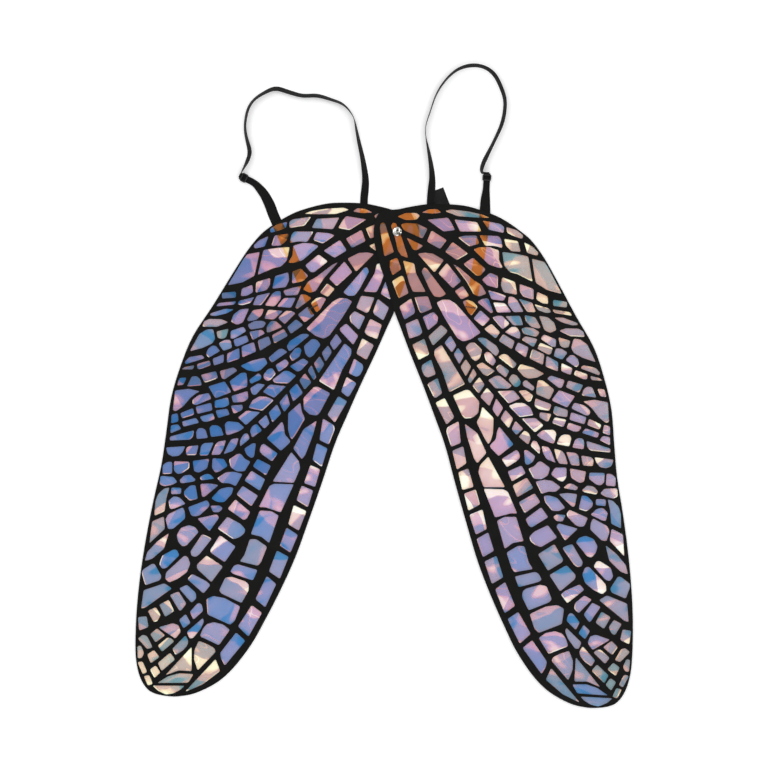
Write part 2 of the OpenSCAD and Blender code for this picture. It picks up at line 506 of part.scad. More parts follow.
// Domed cap, with the post that is pressed into the tube
module rivet_cap() {
    rim = cap_h / 4;
    dome = [for (a = [0:10:90]) [cap_d / 2 * cos(a), rim + (cap_h - rim) * sin(a)]];
    color(silver) union() {
        translate([0, 0, stack_top + blade_gap])
            rotate_extrude() polygon(concat([[0, 0], [cap_d / 2, 0]], dome));
        translate([0, 0, left_film_z]) cylinder(h = stack_top + blade_gap + rim - left_film_z,
            d = post_d);
    }
}

// The four corners of a strap's section at station s, its run heading by angle h
function section(s, h) = let(
        side = [-sin(h), cos(h), 0], up = [0, 0, 1],
        wide = cos(s[2]) * side + sin(s[2]) * up, thick = cos(s[2]) * up - sin(s[2]) * side,
        c = [s[0], s[1], s[3] + s[4] / 2 * sin(s[2]) + s[5] / 2 * cos(s[2])])
    [for (k = [[-1, -1], [1, -1], [1, 1], [-1, 1]]) c + k[0] * s[4] / 2 * wide
        + k[1] * s[5] / 2 * thick];
function heading(r, i) = let(a = clamped(r, i - 1), b = clamped(r, i + 1))
    atan2(b[1] - a[1], b[0] - a[0]);

// A flat strap swept along its stations
module strap(route) {
    r = open_curve(route, 3);
    last = 4 * (len(r) - 1);
    points = [for (i = [0:len(r) - 1]) each section(r[i], heading(r, i))];
    walls = [for (i = [0:len(r) - 2], k = [0:3]) let(
            a = 4 * i + k, b = 4 * i + (k + 1) % 4)
        each [[a, a + 4, b + 4], [a, b + 4, b]]];
    ends = [[0, 1, 2], [0, 2, 3], [last, last + 2, last + 1], [last, last + 3, last + 2]];
    color(black) polyhedron(points, concat(walls, ends), convexity = 8);
}

module left_arm_strap() { strap(left_arm_route); }
module right_arm_strap() { strap(right_arm_route); }
module left_lower_strap() { strap(left_lower_route); }
module right_lower_strap() { strap(right_lower_route); }

// Two ends, a middle bar under the strap and two outer bars over it
module slider(at, turn) {
    slot_w = neck_w + 2 * slot_gap;
    slot_h = 2 * elastic_t + 2 * slot_gap;
    across = slot_w + bar_w;
    high = bar_t + slot_h + bar_t;
    color(black) translate([at[0], at[1], 0]) rotate([0, 0, turn]) {
        for (side = [-1, 1]) translate([0, side * across / 2, high / 2])
            cube([slider_l, bar_w, high], center = true);
        translate([0, 0, bar_t / 2]) cube([bar_w, across, bar_t], center = true);
        for (side = [-1, 1])
            translate([side * (slider_l - bar_w) / 2, 0, high - bar_t / 2])
                cube([bar_w, across, bar_t], center = true);
    }
}

module left_slider() { slider(left_slider_at, left_slider_turn); }
module right_slider() { slider(right_slider_at, right_slider_turn); }

// Threads across the back of a strap, a little in from its sewn end
module bar_tacks(route, z) {
    long = strap_w - 2;
    from_end = [3, 10];
    run = route[1] - route[0];
    color(black) translate([route[0][0], route[0][1], z]) rotate([0, 0, atan2(run[1], run[0])])
        for (along = from_end) translate([along - tack_w / 2, -long / 2, 0])
            cube([tack_w, long, tack_t]);
}

module left_bar_tacks() {
    bar_tacks(left_arm_route, left_strap_z - tack_t);
    bar_tacks(left_lower_route, left_strap_z - tack_t);
}

module right_bar_tacks() {
    bar_tacks(right_arm_route, right_strap_z - tack_t);
    bar_tacks(right_lower_route, right_strap_z - tack_t);
}

module care_label() {
    color(black) translate(label_at) rotate([0, label_dip, label_turn])
        translate([0, -label_w / 2, -label_t]) cube([label_l, label_w, label_t]);
}

left_film();
left_lattice();
right_film();
right_lattice();
rivet_cap();
rivet_base();
left_arm_strap();
right_arm_strap();
left_lower_strap();
right_lower_strap();
left_slider();
right_slider();
left_bar_tacks();
right_bar_tacks();
care_label();
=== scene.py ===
import math
import random

import bmesh
import bpy
from mathutils import Matrix, Vector, noise
from mathutils.bvhtree import BVHTree


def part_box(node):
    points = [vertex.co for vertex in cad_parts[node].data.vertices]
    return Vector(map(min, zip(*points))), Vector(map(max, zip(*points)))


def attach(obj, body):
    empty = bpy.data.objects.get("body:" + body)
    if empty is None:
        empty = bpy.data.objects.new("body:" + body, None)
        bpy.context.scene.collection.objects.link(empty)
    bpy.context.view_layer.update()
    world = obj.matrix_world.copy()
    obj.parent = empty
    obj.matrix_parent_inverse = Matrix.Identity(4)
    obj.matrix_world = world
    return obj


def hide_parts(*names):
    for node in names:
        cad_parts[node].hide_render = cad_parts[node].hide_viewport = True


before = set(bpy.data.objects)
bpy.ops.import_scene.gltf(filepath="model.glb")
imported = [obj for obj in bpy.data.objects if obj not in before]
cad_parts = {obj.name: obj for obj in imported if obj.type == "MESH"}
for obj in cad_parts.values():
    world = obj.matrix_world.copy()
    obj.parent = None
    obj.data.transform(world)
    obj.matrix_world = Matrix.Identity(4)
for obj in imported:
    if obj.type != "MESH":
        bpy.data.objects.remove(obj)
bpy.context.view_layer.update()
print("frame loaded")

mm = 0.001
up = Vector((0, 0, 1))


def linear(hexText):
    # sRGB hex to the linear RGBA that the nodes want
    parts = [int(hexText[i:i + 2], 16) / 255 for i in (1, 3, 5)]
    return [p / 12.92 if p <= 0.04045 else ((p + 0.055) / 1.055) ** 2.4 for p in parts] + [1]


def addNode(tree, kind, inputs=None, stops=None, **settings):
    made = tree.nodes.new(kind)
    for name, value in settings.items():
        setattr(made, name, value)
    for name, value in (inputs or {}).items():
        if isinstance(value, bpy.types.NodeSocket):
            tree.links.new(value, made.inputs[name])
        else:
            made.inputs[name].default_value = value
    if stops:
        ramp = made.color_ramp.elements
        while len(ramp) < len(stops):
            ramp.new(1)
        for element, (place, colour) in zip(ramp, stops):
            element.position = place
            element.color = linear(colour) if isinstance(colour, str) else [colour] * 3 + [1]
    return made


def startMaterial(name):
    material = bpy.data.materials.new(name)
    material.use_nodes = True
    material.node_tree.nodes.clear()
    return material, material.node_tree


def endMaterial(tree, shader):
    addNode(tree, "ShaderNodeOutputMaterial", {"Surface": shader})


def smoothStep(low, high, value):
    x = max(0.0, min(1.0, (value - low) / (high - low)))
    return x * x * (3 - 2 * x)


def finishPiece(name, bm, materials, body, node, smooth=True):
    # turns a bmesh into a piece that stands for a CAD node
    for face in bm.faces:
        face.smooth = smooth
    mesh = bpy.data.meshes.new(name)
    bm.to_mesh(mesh)
    bm.free()
    for material in materials:
        mesh.materials.append(material)
    piece = bpy.data.objects.new(name, mesh)
    bpy.context.scene.collection.objects.link(piece)
    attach(piece, body)
    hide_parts(node)
    return piece


def mergedCopy(node):
    bm = bmesh.new()
    bm.from_mesh(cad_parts[node].data)
    bmesh.ops.remove_doubles(bm, verts=bm.verts, dist=1e-6)
    return bm


def wallTree(bm):
    # search tree of the upright faces only
    walls = bm.copy()
    flat = [f for f in walls.faces if abs(f.normal.z) > 0.5]
    bmesh.ops.delete(walls, geom=flat, context="FACES")
    tree = BVHTree.FromBMesh(walls)
    walls.free()
    return tree


studio = {
    "lens": 85, "sensor": 36, "distance": 2.542, "aim": (-0.0185, -0.2135),
    "floorSize": 8, "floorColour": "#ebebeb",
    "floorGlow": 0.28, "zenith": "#b9b9bb", "horizon": "#f6f6f6", "worldStrength": 0.85,
    # soft boxes: place, size and power, all facing one point of the wings
    "boxes": [((-1.3, 0.9, 2.3), 1.8, 18), ((1.4, 0.2, 2.2), 1.6, 15), ((0.1, -1.9, 1.9), 1.2, 8)],
    "facing": (0, -0.2, 0),
}

scene = bpy.context.scene
scene.view_settings.view_transform = "Standard"
camera = bpy.data.cameras.new("camera")
camera.lens = studio["lens"]
camera.sensor_width = studio["sensor"]
cameraObject = bpy.data.objects.new("camera", camera)
cameraObject.location = (*studio["aim"], studio["distance"])   # looks straight down, +Y up
scene.collection.objects.link(cameraObject)
scene.camera = cameraObject

world = bpy.data.worlds.new("studio")
world.use_nodes = True
scene.world = world
sky = world.node_tree
sky.nodes.clear()
skyCoords = addNode(sky, "ShaderNodeTexCoord")
skySplit = addNode(sky, "ShaderNodeSeparateXYZ", {0: skyCoords.outputs["Generated"]})
skyRamp = addNode(sky, "ShaderNodeValToRGB", {0: skySplit.outputs["Z"]},
                  stops=[(0.0, studio["horizon"]), (0.55, studio["horizon"]),
                         (0.95, studio["zenith"])])
skyLight = addNode(sky, "ShaderNodeBackground",
                   {0: skyRamp.outputs[0], 1: studio["worldStrength"]})
addNode(sky, "ShaderNodeOutputWorld", {"Surface": skyLight.outputs[0]})

for index, (place, size, power) in enumerate(studio["boxes"]):
    lamp = bpy.data.lights.new(f"softBox{index}", "AREA")
    lamp.size = size
    lamp.energy = power
    box = bpy.data.objects.new(lamp.name, lamp)
    box.location = place
    toWings = Vector(studio["facing"]) - Vector(place)
    box.rotation_euler = toWings.to_track_quat("-Z", "Y").to_euler()
    scene.collection.objects.link(box)

# matte white board: an even pale ground with no gloss
boardMaterial, tree = startMaterial("matte white board")
boardShader = addNode(tree, "ShaderNodeBsdfPrincipled",
                      {"Base Color": linear(studio["floorColour"]), "Roughness": 0.9,
                       "Specular IOR Level": 0.1, "Emission Color": linear("#ffffff"),
                       "Emission Strength": studio["floorGlow"]})
endMaterial(tree, boardShader.outputs[0])
bm = bmesh.new()
bmesh.ops.create_grid(bm, x_segments=2, y_segments=2, size=studio["floorSize"] / 2)
floorMesh = bpy.data.meshes.new("floor")
bm.to_mesh(floorMesh)
bm.free()
floorMesh.materials.append(boardMaterial)
floorObject = bpy.data.objects.new("floor", floorMesh)
scene.collection.objects.link(floorObject)
print("stage set")


# Die-cut PVC sheet: calendered matte, so it reads flat black with a fine even grain
# and a few paler rubbed patches. The grain is 0.5 mm, drawn at 1.2 mm to show at all.
latticeLook = {"black": "#0c0c0b", "rubbed": "#171614", "fleck": "#131312", "grain": 1.2,
               "rubScale": 35, "edgeRound": 0.14}


def makeLatticeMaterial():
    look = latticeLook
    material, tree = startMaterial("die-cut matte PVC sheet")
    coords = addNode(tree, "ShaderNodeTexCoord")
    grain = addNode(tree, "ShaderNodeTexNoise",
                    {"Vector": coords.outputs["Object"], "Scale": 1 / (look["grain"] * mm),
                     "Detail": 3, "Roughness": 0.6})
    rub = addNode(tree, "ShaderNodeTexNoise",
                  {"Vector": coords.outputs["Object"], "Scale": 1 / (look["rubScale"] * mm),
                   "Detail": 5, "Roughness": 0.65})
    rubbed = addNode(tree, "ShaderNodeValToRGB", {0: rub.outputs["Fac"]},
                     stops=[(0.4, look["black"]), (0.75, look["rubbed"])])
    speck = addNode(tree, "ShaderNodeMix", {0: grain.outputs["Fac"], 6: rubbed.outputs[0],
                                            7: linear(look["fleck"])},
                    data_type="RGBA", blend_type="MIX")
    dull = addNode(tree, "ShaderNodeMapRange", {0: rub.outputs["Fac"], 1: 0.3, 2: 0.7,
                                                3: 0.62, 4: 0.48})
    bump = addNode(tree, "ShaderNodeBump", {"Height": grain.outputs["Fac"], "Strength": 0.35,
                                            "Distance": 0.00008})
    shader = addNode(tree, "ShaderNodeBsdfPrincipled",
                     {"Base Color": speck.outputs[2], "Roughness": dull.outputs[0],
                      "IOR": 1.53, "Specular IOR Level": 0.08, "Normal": bump.outputs[0]})
    endMaterial(tree, shader.outputs[0])
    return material


# Dichroic coated PET film: lets blue through and throws orange back. How much orange comes back is
# a
# painted reflection in its colour: blue where painted as tilted away from the light, lilac where
# flat, peach to cream in painted glints.
filmLook = {
    "bandLong": 46, "bandHigh": 20, "warpScale": 30, "warpBy": 0.5, "turnBy": 1.7,
    "zoneSoft": 0.05, "zoneWave": 0.9, "lineWidth": 0.009, "lineGain": 0.16, "creasedCells": 0.75,
    "glintWidth": 1.2, "rimStart": 0.2, "rimWidth": 0.8, "rimGain": 0.08,
    # how far apart the cells' patterns lie, where a cell's far zone starts, where creases run
    "cellShift": 60.0, "zoneStart": 0.3, "creaseAt": 0.47,
    # what comes through: root blue, clear blue, pale blue, grey, nearly clear
    "through": [(0.0, "#5d83a1"), (0.3, "#6091c6"), (0.55, "#6ea4d2"), (0.75, "#7ba9bb"),
                (1.0, "#96c6c8")],
    # painted reflection colours: what comes back, from nothing through amber and peach to cream
    "paintedReflection": [(0.0, "#08080a"), (0.17, "#6a4018"), (0.42, "#ae5f20"), (0.52, "#c86c28"),
               (0.64, "#dc9658"), (0.80, "#efc07f"), (1.0, "#f7dca4")],
}


def makeFilmMaterial(side):
    look = filmLook
    material, tree = startMaterial("dichroic coated PET film, " + side)
    coords = addNode(tree, "ShaderNodeTexCoord")
    marks = {name: addNode(tree, "ShaderNodeAttribute", attribute_name=name).outputs["Fac"]
             for name in filmMarks}
    inMm = addNode(tree, "ShaderNodeMapping", {"Vector": coords.outputs["Object"],
                                               "Scale": (1 / mm, 1 / mm, 0)})
    # each cell slides and turns the pattern by its own amount, so it breaks at the veins
    offset = addNode(tree, "ShaderNodeMath", {0: marks["cell"], 1: look["cellShift"]},
                     operation="MULTIPLY")
    turn = addNode(tree, "ShaderNodeMapRange", {0: marks["cell"], 3: -look["turnBy"] / 2,
                                                4: look["turnBy"] / 2})
    turned = addNode(tree, "ShaderNodeVectorRotate", {"Vector": inMm.outputs[0],
                                                      "Angle": turn.outputs[0]},
                     rotation_type="Z_AXIS")
    warp = addNode(tree, "ShaderNodeTexNoise",
                   {"Vector": inMm.outputs[0], "W": offset.outputs[0],
                    "Scale": 1 / look["warpScale"], "Detail": 1.0}, noise_dimensions="4D")
    stretch = addNode(tree, "ShaderNodeMapping",
                      {"Vector": turned.outputs[0],
                       "Scale": (1 / look["bandLong"], 1 / look["bandHigh"], 0)})
    warped = addNode(tree, "ShaderNodeVectorMath",
                     {0: warp.outputs["Color"], 1: (look["warpBy"],) * 3, 2: stretch.outputs[0]},
                     operation="MULTIPLY_ADD")
    bands = addNode(tree, "ShaderNodeTexNoise",
                    {"Vector": warped.outputs[0], "W": offset.outputs[0], "Scale": 1.0,
                     "Detail": 1.2, "Roughness": 0.4}, noise_dimensions="4D")
    # painted reflection bands: a flat plateau, with quick steps to blue below it and to peach
    # above it
    plateau = addNode(tree, "ShaderNodeValToRGB", {0: bands.outputs["Fac"]},
                      stops=[(0.31, 0.15), (0.35, 0.34), (0.37, 0.46), (0.60, 0.55),
                             (0.62, 0.73), (0.68, 1.0)])
    swing = addNode(tree, "ShaderNodeMath", {0: plateau.outputs[0], 1: 0.5},
                    operation="SUBTRACT")
    swung = addNode(tree, "ShaderNodeMath",
                    {0: swing.outputs[0], 1: marks["busy"], 2: marks["paintedShine"]},
                    operation="MULTIPLY_ADD")
    # painted reflection: one end of a cell is painted as tilting another way, with a crisp wavy
    # border to another hue
    wave = addNode(tree, "ShaderNodeMath", {0: warp.outputs["Fac"], 1: look["zoneWave"],
                                            2: marks["along"]}, operation="MULTIPLY_ADD")
    border = 0.5 * look["zoneWave"] + look["zoneStart"]
    zone = addNode(tree, "ShaderNodeMapRange",
                   {0: wave.outputs[0], 1: border - look["zoneSoft"],
                    2: border + look["zoneSoft"]}, interpolation_type="SMOOTHSTEP")
    zoned = addNode(tree, "ShaderNodeMath", {0: zone.outputs[0], 1: marks["gain"],
                                             2: swung.outputs[0]}, operation="MULTIPLY_ADD")
    # painted highlights: thin bright creases, where the slope passes one value
    level = addNode(tree, "ShaderNodeMath",
                    {0: bands.outputs["Fac"], 1: look["creaseAt"], 2: look["lineWidth"]},
                    operation="COMPARE")
    some = addNode(tree, "ShaderNodeMath", {0: marks["cell"], 1: look["creasedCells"]},
                   operation="GREATER_THAN")
    crease = addNode(tree, "ShaderNodeMath", {0: level.outputs[0], 1: some.outputs[0]},
                     operation="MULTIPLY")
    creased = addNode(tree, "ShaderNodeMath", {0: crease.outputs[0], 1: look["lineGain"],
                                               2: zoned.outputs[0]}, operation="MULTIPLY_ADD")
    # painted highlights: a cream glint sliver against one side of a cell, and a thin pale line all
    # round it
    near = addNode(tree, "ShaderNodeMapRange",
                   {0: marks["edge"], 1: look["glintWidth"] * 0.6, 2: look["glintWidth"] * 1.4,
                    3: 1.0, 4: 0.0}, interpolation_type="SMOOTHSTEP")
    sliver = addNode(tree, "ShaderNodeMath",
                     {0: near.outputs[0], 1: marks["paintedGlint"], 2: creased.outputs[0]},
                     operation="MULTIPLY_ADD")
    line = addNode(tree, "ShaderNodeMapRange",
                   {0: marks["edge"], 1: look["rimStart"], 2: look["rimWidth"],
                    3: look["rimGain"], 4: 0.0})
    # the summed painted reflection strength, clamped, picks the orange painted into the colour
    paintedShine = addNode(tree, "ShaderNodeMath", {0: sliver.outputs[0], 1: line.outputs[0]},
                    use_clamp=True)
    paintedReflection = addNode(tree, "ShaderNodeValToRGB", {0: paintedShine.outputs[0]}, stops=look["paintedReflection"])
    through = addNode(tree, "ShaderNodeValToRGB", {0: marks["tint"]}, stops=look["through"])
    ripple = addNode(tree, "ShaderNodeBump", {"Height": bands.outputs["Fac"], "Strength": 0.5,
                                              "Distance": 0.0006})
    solid = addNode(tree, "ShaderNodeBsdfPrincipled",
                    {"Base Color": paintedReflection.outputs[0], "Roughness": 0.14, "IOR": 1.57,
                     "Thin Film Thickness": 380, "Thin Film IOR": 1.33,
                     "Normal": ripple.outputs[0]})
    clear = addNode(tree, "ShaderNodeBsdfTransparent", {0: through.outputs[0]})
    both = addNode(tree, "ShaderNodeAddShader", {0: clear.outputs[0], 1: solid.outputs[0]})
    endMaterial(tree, both.outputs[0])
    return material


def makeFilmBackMaterial():
    # uncoated back of the PET film: clear, with only a weak gloss
    material, tree = startMaterial("clear PET film back")
    solid = addNode(tree, "ShaderNodeBsdfPrincipled",
                    {"Base Color": linear("#e8ecf4"), "Roughness": 0.15, "IOR": 1.57})
    clear = addNode(tree, "ShaderNodeBsdfTransparent")
    both = addNode(tree, "ShaderNodeMixShader", {0: 0.01, 1: clear.outputs[0],
                                                 2: solid.outputs[0]})
    endMaterial(tree, both.outputs[0])
    return material


latticeMaterial = makeLatticeMaterial()
filmBackMaterial = makeFilmBackMaterial()


# hues that the film shows: its painted reflection strength, tint and how busy it is
tones = {
    "amber": (0.40, 0.00, 0.6), "mauve": (0.41, 0.07, 0.6), "rose": (0.34, 0.71, 0.7),
    "lilac": (0.38, 0.61, 0.7), "pearl": (0.38, 0.82, 0.9), "cream": (0.60, 0.64, 0.9),
    "periwinkle": (0.25, 0.57, 0.8), "steel": (0.17, 0.63, 0.6), "blue": (0.07, 0.37, 0.5),
    "slate": (0.09, 0.19, 0.5), "ink": (0.03, 0.05, 0.4), "dusk": (0.22, 0.30, 0.7),
    "ash": (0.14, 0.78, 0.5), "glass": (0.60, 1.00, 0.9)}

# rows of tones down each blade: distance down in mm, then [distance out, tone]
blades = {
    "left": {"body": "root", "splay": 3.5, "drop": 2 * mm, "seed": 11, "rows": {
        -30: [(35, "amber"), (105, "pearl")],
        30: [(-20, "amber"), (35, "amber"), (105, "lilac"), (175, "dusk")],
        90: [(35, "rose"), (105, "mauve"), (175, "dusk"), (245, "slate")],
        150: [(35, "lilac"), (105, "slate"), (175, "slate"), (245, "ash")],
        210: [(35, "steel"), (105, "slate"), (175, "blue"), (245, "slate"), (315, "ink")],
        270: [(60, "lilac"), (105, "blue"), (175, "blue"), (245, "blue"), (315, "blue")],
        330: [(105, "periwinkle"), (175, "blue"), (245, "blue"), (315, "blue")],
        390: [(105, "lilac"), (175, "periwinkle"), (245, "blue"), (315, "steel")],
        450: [(105, "periwinkle"), (175, "steel"), (245, "periwinkle"), (315, "steel")],
        510: [(175, "periwinkle"), (245, "periwinkle"), (315, "periwinkle")],
        570: [(175, "periwinkle"), (245, "steel"), (315, "ash")],
        630: [(245, "pearl"), (315, "glass")]}},
    "right": {"body": "right_wing", "splay": 0, "drop": 0, "seed": 23, "rows": {
        -30: [(35, "amber"), (105, "pearl")],
        30: [(-20, "amber"), (35, "amber"), (105, "mauve"), (175, "pearl")],
        90: [(35, "mauve"), (105, "mauve"), (175, "rose"), (245, "pearl")],
        150: [(35, "rose"), (105, "rose"), (175, "rose"), (245, "rose")],
        210: [(35, "rose"), (105, "rose"), (175, "rose"), (245, "lilac"), (315, "rose")],
        270: [(60, "lilac"), (105, "cream"), (175, "lilac"), (245, "lilac"), (315, "lilac")],
        330: [(105, "cream"), (175, "lilac"), (245, "lilac"), (315, "lilac")],
        390: [(105, "cream"), (175, "lilac"), (245, "periwinkle"), (315, "steel")],
        450: [(105, "periwinkle"), (175, "periwinkle"), (245, "periwinkle"), (315, "lilac")],
        510: [(175, "periwinkle"), (245, "periwinkle"), (315, "periwinkle")],
        570: [(175, "periwinkle"), (245, "periwinkle"), (315, "rose")],
        630: [(245, "steel"), (315, "ash")]}},
}
filmMarks = ("paintedShine", "tint", "busy", "cell", "edge", "paintedGlint", "along", "gain")

# how a film stands proud between the veins, and how evenly its mesh is laid
filmShape = {"step": 2.0 * mm, "thickness": 0.3 * mm, "lowBulge": 0.20 * mm,
             "highBulge": 0.55 * mm, "bulgeReach": 4 * mm, "ripple": 0.05 * mm,
             "rippleScale": 14 * mm, "fadeRings": 3, "patchReach": 22, "paintedShineSpread": 0.06,
             "zoneGains": (0.7, 0.5, 0.35, 0.2, 0.0, 0.0, -0.2, -0.3, -0.1),
             "paintedShineOverStrap": 0.07, "tintSpread": 0.08, "glintSpread": 0.9,
             # headings in degrees of the painted glints and painted reflection zones: most slivers
             # lie low in a cell, most far zones at its top
             "glintHeading": -110, "glintTurn": 55, "glintFrom": 0.7, "glintFull": 0.96,
             "zoneHeadings": (90, 90, -100), "zoneTurn": 40}


def onBlade(blade, point):
    # the blade's own [out, down] in mm of a point in the frame
    x, y = point.x + blade["drop"], point.y + blade["drop"]
    if blade["splay"] == 0:
        return x / mm, -y / mm
    turn = -math.radians(blade["splay"])
    x = -x
    return ((x * math.cos(turn) - y * math.sin(turn)) / mm,
            -(x * math.sin(turn) + y * math.cos(turn)) / mm)


def blendPatches(blade, point):
    out, down = onBlade(blade, point)
    total, sums = 0.0, [0.0, 0.0, 0.0]
    for rowDown, row in blade["rows"].items():
        for rowOut, tone in row:
            away = (rowOut - out) ** 2 + (rowDown - down) ** 2
            weight = 1 / (away + filmShape["patchReach"] ** 2) ** 2
            total += weight
            for k in range(3):
                sums[k] += weight * tones[tone][k]
    return [s / total for s in sums]


def makeLattice(side, blade):
    node = side + "_lattice"
    bm = mergedCopy(node)
    piece = finishPiece(side + "Lattice", bm, [latticeMaterial], blade["body"], node,
                        smooth=False)
    # the die rounds the top and bottom edges a little
    edge = piece.modifiers.new("dieCutEdge", "BEVEL")
    edge.width = latticeLook["edgeRound"] * mm
    edge.segments = 2
    edge.limit_method = "ANGLE"
    edge.angle_limit = math.radians(60)


def makeFilm(side, blade):
    shape = filmShape
    node = side + "_film"
    filmCopy, latticeCopy = mergedCopy(node), mergedCopy(side + "_lattice")
    filmTree, latticeTree = BVHTree.FromBMesh(filmCopy), BVHTree.FromBMesh(latticeCopy)
    filmWalls, latticeWalls = wallTree(filmCopy), wallTree(latticeCopy)
    filmCopy.free()
    latticeCopy.free()
    behind = []
    for end in ("_lower_strap", "_arm_strap"):
        strapCopy = mergedCopy(side + end)
        behind.append(BVHTree.FromBMesh(strapCopy))
        strapCopy.free()
    low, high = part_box(node)
    latticeLow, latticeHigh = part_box(side + "_lattice")
    top, middle = high.z, (latticeLow.z + latticeHigh.z) / 2
    size = high - low

    # an even grid over the blade's box, cut back to its outline
    bm = bmesh.new()
    place = Matrix.Translation(((low.x + high.x) / 2, (low.y + high.y) / 2, top))
    bmesh.ops.create_grid(bm, x_segments=round(size.x / shape["step"]),
                          y_segments=round(size.y / shape["step"]), size=1,
                          matrix=place @ Matrix.Diagonal((size.x / 2, size.y / 2, 1, 1)))
    outside = [v for v in bm.verts if filmTree.ray_cast(v.co + up, -up)[0] is None]
    bmesh.ops.delete(bm, geom=outside, context="VERTS")
    lone = [v for v in bm.verts if not v.link_faces]
    bmesh.ops.delete(bm, geom=lone, context="VERTS")
    for v in bm.verts:
        if v.is_boundary:
            spot = filmWalls.find_nearest(v.co)[0]
            v.co.x, v.co.y = spot.x, spot.y

    marks = {name: bm.verts.layers.float.new(name) for name in filmMarks}
    bm.verts.ensure_lookup_table()
    covered, fromWall = {}, {}
    for v in bm.verts:
        here = Vector((v.co.x, v.co.y, middle))
        spot, _, _, away = latticeWalls.find_nearest(here)
        covered[v] = latticeTree.ray_cast(v.co + up, -up)[0] is not None
        fromWall[v] = here - spot
        v[marks["edge"]] = (-away if covered[v] else away) / mm

    # the points of each open cell, one cell after another
    draw = random.Random(blade["seed"])
    seen, edgeRing = set(), []
    for start in bm.verts:
        if covered[start] or start in seen:
            continue
        cell, waiting = [], [start]
        seen.add(start)
        while waiting:
            v = waiting.pop()
            cell.append(v)
            for e in v.link_edges:
                other = e.other_vert(v)
                if not covered[other] and other not in seen:
                    seen.add(other)
                    waiting.append(other)
        centre = sum((v.co for v in cell), Vector()) / len(cell)
        # the cell's painted reflection strength, with its tint and how busy it is
        paintedShine, tint, busy = blendPatches(blade, centre)
        paintedShine += draw.uniform(-1, 1) * shape["paintedShineSpread"]
        tint += draw.uniform(-shape["tintSpread"], shape["tintSpread"])
        number = draw.random()
        bulge = draw.uniform(shape["lowBulge"], shape["highBulge"])
        # painted glint: how strong the cell's painted cream sliver is and which side of the cell
        # it lies on
        glint = max(0.0, draw.uniform(-shape["glintSpread"], shape["glintSpread"]))
        toGlint = math.radians(draw.gauss(shape["glintHeading"], shape["glintTurn"]))
        glintWay = Vector((math.cos(toGlint), math.sin(toGlint), 0))
        toZone = math.radians(draw.gauss(draw.choice(shape["zoneHeadings"]), shape["zoneTurn"]))
        zoneWay = Vector((math.cos(toZone), math.sin(toZone), 0))
        gain = draw.choice(shape["zoneGains"]) * busy
        reach = max(abs((v.co - centre).dot(zoneWay)) for v in cell) + shape["step"]
        for v in cell:
            away = fromWall[v].length
            facing = -fromWall[v].normalized().dot(glintWay)
            leaning = smoothStep(shape["glintFrom"], shape["glintFull"], facing)
            v[marks["along"]] = (v.co - centre).dot(zoneWay) / reach
            v[marks["gain"]] = gain
            # black elastic behind the film lets its orange show: a painted reflection, raised
            # where a strap lies behind
            backed = any(tree.ray_cast(v.co, -up)[0] is not None for tree in behind)
            v[marks["paintedShine"]] = paintedShine + (shape["paintedShineOverStrap"] if backed else 0)
            v[marks["tint"]] = tint
            v[marks["busy"]], v[marks["cell"]] = busy, number
            v[marks["paintedGlint"]] = glint * leaning
            rise = 1 - math.exp(-away / shape["bulgeReach"])
            wave = noise.noise(Vector((v.co.x, v.co.y * 2, number)) / shape["rippleScale"])
            v.co.z = top + rise * (bulge + shape["ripple"] * wave)
        edgeRing += [v for v in cell if any(covered[e.other_vert(v)] for e in v.link_edges)]

    # carry each cell's values a little way under the veins
    for _ in range(shape["fadeRings"]):
        nextRing = []
        for v in edgeRing:
            for e in v.link_edges:
                other = e.other_vert(v)
                if other not in seen:
                    seen.add(other)
                    nextRing.append(other)
                    for name in filmMarks:
                        if name != "edge":
                            other[marks[name]] = v[marks[name]]
        edgeRing = nextRing

    bmesh.ops.recalc_face_normals(bm, faces=bm.faces)
    if sum(f.normal.z for f in bm.faces) < 0:
        bmesh.ops.reverse_faces(bm, faces=bm.faces)
    piece = finishPiece(side + "Film", bm, [makeFilmMaterial(side), filmBackMaterial],
                        blade["body"], node)
    sheet = piece.modifiers.new("filmThickness", "SOLIDIFY")
    sheet.thickness = shape["thickness"]
    sheet.offset = -1
    sheet.material_offset = 1
    sheet.material_offset_rim = 1


for side, blade in blades.items():
    makeLattice(side, blade)
    makeFilm(side, blade)
    print(side, "blade made")


# Woven elastic: fine lengthwise ribs with a matte yarn, so it reads as soft black with faint
# streaks, with painted shade in the grooves and a painted highlight on the rib tops. The yarns are
# 0.4 mm, drawn as 1.1 mm ribs and 0.9 mm picks to show at all.
elasticLook = {"rib": 1.1, "pick": 0.9, "fuzz": 6, "paintedGrooveShade": "#040404", "yarn": "#0f0f0e",
               "paintedLighterTone": "#191817"}


